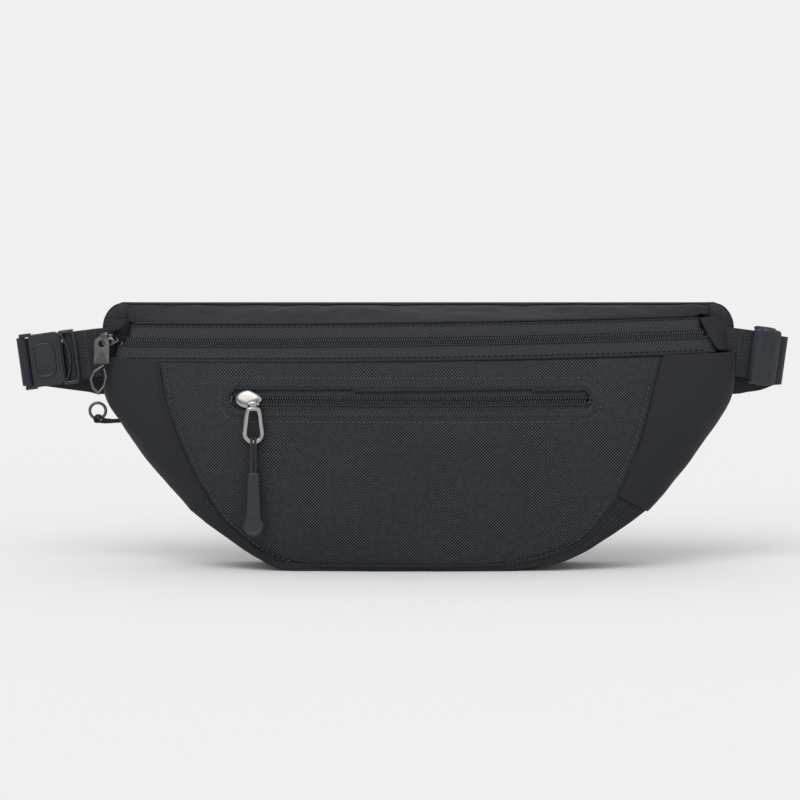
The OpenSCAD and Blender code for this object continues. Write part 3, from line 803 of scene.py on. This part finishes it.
def linings():
    """The pocket's bag behind the front panel, and the divider in front of the back."""
    rows = []
    for i in range(25):
        z = mix(36, 96, i / 24)
        left = mix(-70, -97, min((z - 36) / 24, 1)) if z < 60 else mix(-97, -93, (z - 60) / 36)
        right = mix(60, 90, (z - 36) / 24) if z < 60 else mix(90, 88, (z - 60) / 36)
        rows.append([
            on_front(mix(left, right, k / 40), z, -5.0 + ripple((k * 4, 0, z), 30, 0.35))
            for k in range(41)
        ])
    bag = grid("pocket_lining", rows)
    thicken(bag, 0, 0.5)
    place(bag, "bag", LINING, ["pocket_bag"])
    rows = []
    for i in range(25):
        z = mix(16, 100, i / 24)
        half = mix(82, 112, min((z - 16) / 30, 1))
        rows.append([[mix(-half, half, k / 40), 19 + ripple((k * 5, 0, z), 34, 0.35), z]
                     for k in range(41)])
    divider = grid("divider_lining", rows)
    thicken(divider, 0, 0.6)
    place(divider, "bag", LINING, ["inner_divider"])


linings()


# ---- Seams of the front ----
def seams():
    for name, stations, side in (("left", SEAM_LEFT, 1), ("right", SEAM_RIGHT, -1)):
        top = 107 if side == 1 else 110
        heights = [mix(5, top, i / 90) for i in range(91)]
        row = [(seam_x(stations, z) + side * SEAM_STITCH, z) for z in heights]
        stitches("stitch_seam_" + name, [on_front(x, z, 0.05) for x, z in row], "bag")
        edge = [on_front(seam_x(stations, z) - side * 0.2, z, -0.1) for z in heights]
        place(tube("piping_" + name, edge, 0.75, 8), "bag", BINDING)
    path = [on_front(mix(-56, 46, i / 60), mix(PANEL_LOW_LEFT, PANEL_LOW_RIGHT, i / 60), -0.1)
            for i in range(61)]
    place(tube("piping_bottom", path, 0.75, 8), "bag", BINDING)


seams()


# ---- Back ----
def back_edge(stations_a, stations_b, z):
    """The silhouette's x at the height z."""
    points = [(s[2], s[3]) for s in stations_a + stations_b]
    nearer = min((points[-1], points[0]), key=lambda p: abs(z - p[1]))
    return crossing(points, z, nearer[0])


def outline_x(side, z):
    """The back's outline at the height z, on the left (-1) or the right (1)."""
    if z > BAG_H - CORNER_Z:
        rise = (z - BAG_H + CORNER_Z) / CORNER_Z
        return side * (HALF_W - CORNER_X + CORNER_X * math.sqrt(max(1 - rise ** 2, 0)))
    if z > 111:
        return side * HALF_W
    if side < 0:
        return back_edge(SIDE_LEFT, GUSSET_LEFT, z)
    return back_edge(GUSSET_RIGHT, SIDE_RIGHT, z)


def back():
    """The padded back panel, with an upright channel on each side, and the foam inside it."""
    pad_top, channel = 85, 52
    rows = []
    for i in range(81):
        z = mix(0.4, BAG_H - 0.3, i / 80)
        left, right = outline_x(-1, z), outline_x(1, z)
        row = []
        for k in range(101):
            x = mix(left, right, k / 100)
            rim = min(x - left, right - x, z, BAG_H - z)
            puff = 3.6 * min(max((pad_top - z) / 9, 0), 1) ** 0.6 * min(max(rim, 0) / 16, 1) ** 0.5
            puff *= 1 - 0.85 * math.exp(-((abs(x) - channel) / 2.6) ** 2)
            puff -= 0.3 * math.exp(-rim / 2)
            row.append([x, 24.7 + puff + ripple((x, 0, z), 25, 0.25), z])
        rows.append(row)
    panel = grid("back_cloth_panel", rows, flat=True)
    thicken(panel, 1, 0.6)
    place(panel, "bag", BACK_CLOTH, ["back_panel"])
    heights = [mix(0.5, BAG_H - 0.1, i / 100) for i in range(101)]
    path = [(outline_x(-1, z), 24.4, z) for z in heights]
    path += [(mix(-155, 155, i / 40), 24.4, BAG_H - 0.2) for i in range(1, 40)]
    path += [(outline_x(1, z), 24.4, z) for z in reversed(heights)]
    path += [(mix(50, -57, i / 20), 24.4, 0.5) for i in range(1, 20)]
    binding = tube("back_binding", path, 1.15, 10, closed=True)
    place(binding, "bag", BINDING)
    rows = []
    for i in range(25):
        t = i / 24
        z = mix(5, 122, t)
        outer_z = min(max((z - 4) / 0.88, 1), BAG_H - 1)
        left, right = (0.89 * outline_x(side, outer_z) for side in (-1, 1))
        front = []
        for k in range(31):
            crown = max(sin(180 * k / 30) * sin(180 * t), 0) ** 0.3
            front.append([mix(left, right, k / 30), 22.4 - 1.3 * crown, z])
        behind = [[p[0], 23.8, z] for p in reversed(front)]
        rows.append(front + behind + front[:1])
    pad = grid("back_pad", rows)
    cap_ends(pad, rows)
    modifier(pad, "WELD", merge_threshold=0.00002)
    place(pad, "bag", LINING, ["back_foam"])


back()


# ---- Belt ----
def hang_right(x, y, z):
    """A place on the right wing: x outwards along the strap, y backwards, z across it."""
    c, s = cos(DROOP), sin(DROOP)
    return [166.9 + x * c + z * s, WEB_Y + y, WEB_Z - x * s + z * c]


def hang_left(x, y, z):
    """The same on the left wing."""
    right = hang_right(x, y, z)
    return [-right[0], right[1], right[2]]


def webbing(name, path, steps=4):
    """A flat strap along [x, y, z, lean] points of its middle line, with soft rounded edges."""
    across = (-12.7, -12.3, -10, -6.5, -3, 0, 3, 6.5, 10, 12.3, 12.7)
    rows = []
    for p in spline(path, steps):
        lean = Vector((sin(p[3]), 0, cos(p[3])))
        rows.append([list(Vector(p[:3]) + lean * w) for w in across])
    strap = grid(name, rows)
    thicken(strap, 0, 1.35)
    modifier(strap, "BEVEL", width=0.35 * MM, segments=2, limit_method="ANGLE")
    return strap


def bar_tack(name, at, x):
    """A dense row of thread across the strap at x. at is hang_left or hang_right."""
    places = []
    for i in range(24):
        z = mix(-11.2, 11.2, i / 23)
        places.append((at(x - 0.9, -0.95, z), at(x + 0.9, -0.95, z + 0.45)))
    place(capsules(name, places, 0.26, 5), "bag", THREAD)


def run_at(x, y):
    """A point of a strap run behind the bag, which rises and leans towards the wings past it."""
    lean = math.copysign(DROOP, x) if abs(x) > 171 else 0
    return [x, y, RUN_Z + max(abs(x) - 170, 0) * 0.137, lean]


def belt():
    """The left wing with its loop round the plug's bar, then the one strap from the right wing
    behind the bag, round the socket's bar and back."""
    local = [(-7, 0), (2, 0), (9, -0.2), (14, -0.9), (17.6, -1.4)]
    local += [(17.6 + 2.3 * cos(a), 0.9 + 2.3 * sin(a)) for a in (-60, -30, 0, 30, 60, 90)]
    local += [(12, 2.9), (5, 1.9), (1, 1.6)]
    path = [hang_left(x, y, 0) + [-DROOP] for x, y in local]
    place(webbing("wing_webbing", path), "bag", WEBBING, ["wing_left", "plug_loop"])
    bar_tack("bar_tack_left", hang_left, 2.6)
    bar_tack("bar_tack_fold", hang_left, 8.2)
    bar_tack("bar_tack_right", hang_right, 2.6)

    right_z = WEB_Z - 27 * sin(DROOP)
    path = [hang_right(x, 0, 0) + [DROOP] for x in (-7, 2, 9, 15, 20)]
    for a in (-70, -40, -10, 20, 50, 80):
        y, z = WEB_Y + 4.4 + 4.4 * sin(a), right_z - 1.5 - a / 90
        path.append([189.6 + 4.2 * cos(a), y, z, DROOP])
    path += [[184, RUN_IN - 0.3, 104.1, DROOP], run_at(176.4, RUN_IN), run_at(168, RUN_IN)]
    path += [run_at(x, RUN_IN) for x in range(150, -171, -16)]
    path += [run_at(x, mix(RUN_IN, RUN_IN - 1, (-x - 176) / 24)) for x in (-176.4, -188, -199)]
    far = hang_left(BAR_FAR, 0.9, 0)
    path.append([far[0] + 2.6, far[1] + 4.6, far[2] - 0.3, -DROOP])
    for a in (350, 320, 290, 260, 230, 200, 170):
        path.append([far[0] + 2.4 * cos(a), far[1] + 2.4 * sin(a), far[2], -DROOP])
    path += [[far[0] - 0.4, far[1] + 4.8, far[2] - 0.3, -DROOP],
             [far[0] + 2.6, far[1] + 7.4, far[2] - 0.8, -DROOP]]
    path += [run_at(x, mix(RUN_OUT, RUN_OUT - 0.8, (-x - 176) / 24)) for x in (-199, -188, -176.4)]
    path += [run_at(x, RUN_OUT) for x in range(-164, 177, 17)]
    strap = webbing("belt_webbing", path, 3)
    strap.data.materials.append(WEBBING)
    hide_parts("wing_right", "belt_right_turn", "belt_back_run", "socket_loop")
    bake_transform(strap)


belt()


# ---- Folds of cloth over the zip's ends ----
def over_band(x, z, out):
    """The point in front of the zip band at the place x and about the height z."""
    return on_zip(x, out, (z - x * ZIP_SLOPE - ZIP_Z) / cos(ZIP_LEAN))


def end_folds():
    for side, name, top, low in ((-1, "end_fold_left", (-152.5, 128.5), (-159, 122.5)),
                                 (1, "end_fold_right", (151.3, 129.6), (157.5, 113.4))):
        rows = []
        for i in range(15):
            t = i / 14
            x, z = mix(top[0], low[0], t), mix(top[1], low[1], t) - 1.2 * sin(180 * t)
            start = Vector(over_band(x, z, 2.5))
            out_z = mix(top[1] + 2, low[1] - 0.5, t)
            end = Vector((outline_x(side, out_z) - side * 0.4, 20.5, out_z))
            row = [list(start + Vector((side * 0.5, 1.3, 0))),
                   list(start + Vector((-side * 0.3, 0.6, 0)))]
            for k in range(9):
                p = start.lerp(end, k / 8)
                p.y -= 1.5 * sin(180 * k / 8) + ripple(p, 6, 0.7, 3.3)
                row.append(list(p))
            rows.append(row)
        fold = grid(name, rows)
        thicken(fold, 0, 0.7, smooth=True)
        place(fold, "bag", SIDE_CLOTH)


end_folds()


# ---- Sliders and pulls ----
def slider_body(name, at, length, half, low, high, body, material, replaced):
    """A domed slider, with its broad end on the left. at(dx, out, up) gives places about it."""
    outline = []
    for i in range(40):
        a = 360 * i / 40
        dx = length / 2 * cos(a)
        width = half * (1.0 if cos(a) < 0 else 1 - 0.38 * cos(a) ** 0.8)
        outline.append((dx, width * sin(a)))
    rows = []
    for dx, up in outline:
        row = [at(dx * 0.9, low - 0.4, up * 0.9), at(dx, low, up), at(dx, low + 0.8, up)]
        for k in range(1, 8):
            f = 1 - k / 7
            lift = (1 - f ** 3) ** 0.6
            row.append(at(dx * f, low + 0.8 + (high - low - 0.8) * lift, up * f))
        rows.append(row)
    piece = grid(name, rows, ring=True)
    modifier(piece, "SUBSURF", levels=1, render_levels=1)
    place(piece, body, material, replaced)


def bridge(name, at, half, low, high, up, body, material):
    """The wire bridge over a slider, which the pull hangs from."""
    left = [(-half, low), (-half, mix(low, high, 0.6)), (-half * 0.86, high - 0.2),
            (-half * 0.6, high)]
    path = [at(dx, out, up) for dx, out in left + [(-dx, out) for dx, out in left[::-1]]]
    place(tube(name, spline(path, 3), 0.8, 10), body, material)


def eye(name, pivot, width, body, material):
    """A sleeve round the bridge's rod."""
    section = ((-width, 1.0), (-width, 1.7), (-width * 0.8, 1.9), (width * 0.8, 1.9),
               (width, 1.7), (width, 1.0), (-width, 1.0))
    rows = []
    for i in range(28):
        a = 360 * i / 28
        rows.append([[pivot[0] + x, pivot[1] + r * cos(a), pivot[2] + r * sin(a)]
                     for x, r in section])
    place(grid(name, rows, ring=True), body, material)


def pocket_pull():
    """The pocket's slider and metal pull. Returns the pull's lower bar, where the cord hangs."""
    def at(dx, out, up):
        return on_pocket(SLIDER_X + dx, out, up)

    def pull_at(dx, out, up):
        return on_pocket(PULL_X + dx, out, up)

    slider_body("pocket_slider_body", at, 14.2, 5.0, 0.3, 2.3,
                "pocket_slider", BRIGHT_METAL, ["pocket_slider"])
    bridge("pocket_slider_bridge", pull_at, 3.0, 1.4, PULL_OUT, PULL_UP,
           "pocket_slider", BRIGHT_METAL)
    pivot = on_pocket(PULL_X, PULL_OUT, PULL_UP)
    eye("pocket_pull_eye", pivot, 1.8, "pocket_pull", BRIGHT_METAL)
    loop = [(0, -2.5), (-2.4, -2.9), (-3.3, -5), (-3.8, -9)]
    loop += [(4.5 * cos(a), -15 + 5.0 * sin(a)) for a in range(165, 376, 21)]
    loop += [(3.8, -9), (3.3, -5), (2.4, -2.9)]
    path = spline([[pivot[0] + x, pivot[1], pivot[2] + z] for x, z in loop + loop[:1]], 5)[:-1]
    ring = tube("pocket_pull_ring", path, 1.3, 12, closed=True)
    place(ring, "pocket_pull", BRIGHT_METAL, ["pocket_pull"])
    return Vector(pivot) + Vector((0, 0, -20.2))


def puller(low):
    """The cord's two strands and the rubber grip, which hang from the point low."""
    for name, side in (("pull_cord_left", -1), ("pull_cord_right", 1)):
        x = 0.92 * side
        path = [(x * 0.9, -0.5, -16.6), (x, -1.3, -10), (x, -1.9, -5), (x, -2.1, -1)]
        path += [(x, -2.0 * cos(a), 2.0 * sin(a)) for a in range(30, 180, 30)]
        path += [(x, 1.8, -1), (x * 0.8, 1.0, -7), (x * 0.7, 0.5, -12), (x * 0.7, 0.3, -16.6)]
        strand = tube(name, spline([list(low + Vector(p)) for p in path], 4), 0.72, 8)
        place(strand, "toggle", CORD, ["pull_cord"] if side < 0 else [])
    rows = []
    for i in range(61):
        z = -33.6 * i / 60
        if z > -23:
            half = mix(3.2, 3.9, min(max((-z - 8) / 15, 0), 1))
            half *= min(1, (1 - max(1 + z / 1.4, 0) ** 2) ** 0.5 * 0.35 + 0.65)
        else:
            half = math.sqrt(max(5.4 ** 2 - (z + 28.1) ** 2, 0.01))
            half = mix(4.0, half, min((-23 - z) / 2.5, 1))
        thick = 1.9 * min(1, half / 2.6)
        row = []
        for k in range(37):
            a = 10 * k
            x = half * blunt(cos(a), 0.7)
            y = thick * blunt(sin(a), 0.7)
            if y < 0 and math.hypot(x, z + 28.1) < 3.7:
                y += 0.45
            row.append(list(low + Vector((x, y, -15.7 + z))))
        rows.append(row)
    rubber = grid("rubber_puller_grip", rows)
    modifier(rubber, "SUBSURF", levels=1, render_levels=1)
    place(rubber, "toggle", RUBBER, ["rubber_puller"])


def main_pull():
    def at(dx, out, up):
        return on_zip(MAIN_SLIDER_X + dx, out, up)

    slider_body("main_slider_body", at, 10.5, 4.1, 1.5, 3.6,
                "main_slider", DARK_METAL, ["main_slider"])
    bridge("main_slider_bridge", at, 3.4, 2.2, 8.0, 0.0, "main_slider", DARK_METAL)


puller(pocket_pull())
main_pull()


# ---- Buckle and adjuster ----
def bar(name, at, x, y, rx, ry, z0, z1, body, material, ridges=0):
    """A rounded bar along the strap's width, with shallow ridges along its front."""
    rows = []
    for i in range(25):
        t = i / 24
        end = min(t, 1 - t) * abs(z1 - z0)
        shrink = math.sqrt(max(1 - max(1 - end / 2.2, 0) ** 2, 0.05))
        row = []
        for k in range(49):
            a = 7.5 * k
            wide, deep = rx * shrink * blunt(cos(a), 0.6), ry * shrink * sin(a)
            if ridges and deep < 0:
                wave = math.cos(math.pi * ridges * wide / rx)
                deep -= 0.6 * shrink * wave * min(1, 2 * (1 - abs(wide) / rx))
            row.append(at(x + wide, y + deep, mix(z0, z1, t)))
        rows.append(row)
    return place(grid(name, rows), body, material)


def adjuster():
    """The tri-glide on the right wing: a ridged front bar, a back bar and two rails."""
    front = bar("adjuster_front", hang_right, 16.2, -3.1, 7.4, 1.9, -15.4, 15.4,
                "adjuster", PLASTIC, 3)
    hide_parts("adjuster")
    bar("adjuster_bar", hang_right, 15.4, 1.9, 1.7, 0.9, -14.6, 14.6, "adjuster", PLASTIC)
    rail = ((9.6, -2.2), (11, 0.4), (15.4, 1.8), (18.6, 0.4), (19.6, -2.2))
    for name, z in (("adjuster_rail_top", 14.5), ("adjuster_rail_low", -14.5)):
        path = [hang_right(x, y, z) for x, y in rail]
        place(tube(name, spline(path, 4), 0.9, 10), "adjuster", PLASTIC)


adjuster()


def buckle():
    """Raised lines on the plug, and the rim and shallow dish on the socket."""
    def face(x, z, y):
        return hang_left(x, y, z)

    lip = [face(21.0 - 3.4 * (1 - (z / 12.5) ** 2), z, -2.9) for z in range(-12, 13, 2)]
    place(tube("plug_lip", spline(lip, 3), 0.75, 8), "bag", PLASTIC)
    for name, x in (("plug_rib_one", 15.4), ("plug_rib_two", 18.2), ("plug_rib_three", 21.0)):
        for end, z in (("_top", 13.2), ("_low", -13.2)):
            path = [face(x, z - 0.7, -2.75), face(x, z, -2.95), face(x, z + 0.7, -2.75)]
            place(tube(name + end, spline(path, 4), 0.4, 8), "bag", PLASTIC)
    frame_path = [face(18.4 + 4.3 * blunt(cos(a), 0.35), 13.4 * blunt(sin(a), 0.35), -2.7)
                  for a in range(0, 360, 6)]
    place(tube("plug_frame", frame_path, 1.05, 10, closed=True), "bag", PLASTIC)
    rim, dish = [], []
    for i in range(60):
        a = 6 * i
        c, d = blunt(cos(a), 0.6), blunt(sin(a), 0.6)
        rim.append(face(31.2 + 5.4 * c, 8.6 * d, -3.35))
        dish.append([face(31.2 + 5.4 * f * c, 8.6 * f * d, -3.25 - 0.5 * f ** 4)
                     for f in (1, 0.85, 0.6, 0.3, 0.01)])
    place(tube("socket_rim", rim, 0.75, 8, closed=True), "socket", PLASTIC)
    place(grid("socket_dish", dish, ring=True), "socket", PLASTIC)


buckle()


def ring_tab():
    """A narrow tape folded round the ring, whose two layers run into the side's seam."""
    path = [(-156.5, 9.9, 76.4), (-161, 9.8, 76.2), (-165.5, 9.4, 76.0), (-168.2, 9.2, 76.3)]
    path += [(-169.4 + 1.7 * cos(a), 9.0, 77.8 + 1.7 * sin(a))
             for a in (240, 210, 180, 150, 120, 90)]
    path += [(-167.8, 9.0, 79.0), (-166.6, 9.3, 77.6), (-162, 9.8, 76.9), (-156.5, 9.9, 77.1)]
    rows = [[[x, y + w, z] for w in (-2.3, -1.6, 0, 1.6, 2.3)] for x, y, z in spline(path, 4)]
    tab = grid("ring_tab_tape", rows)
    thicken(tab, 0, 1.1)
    place(tab, "bag", BINDING, ["ring_tab"])


ring_tab()


# ---- CAD parts that keep their shape ----
def dress(name, material, width):
    """Gives a CAD node its finish and rounds its sharp edges by width."""
    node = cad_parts[name]
    node.data.materials.clear()
    node.data.materials.append(material)
    modifier(node, "WELD", merge_threshold=0.00001)
    modifier(node, "BEVEL", width=width * MM, segments=2, limit_method="ANGLE",
             angle_limit=math.radians(35))


for node, material, width in (
    ("zip_stops", COIL, 0.2), ("pocket_stops", POCKET_COIL, 0.2),
    ("main_pull_tab", DARK_METAL, 0.3), ("main_pull_loop", DARK_METAL, 0.05),
    ("lock_ring", DARK_METAL, 0.05), ("buckle_plug", PLASTIC, 0.6),
    ("latch_arm_upper", PLASTIC, 0.45), ("latch_arm_lower", PLASTIC, 0.45),
    ("buckle_socket", PLASTIC, 1.1),
):
    dress(node, material, width)
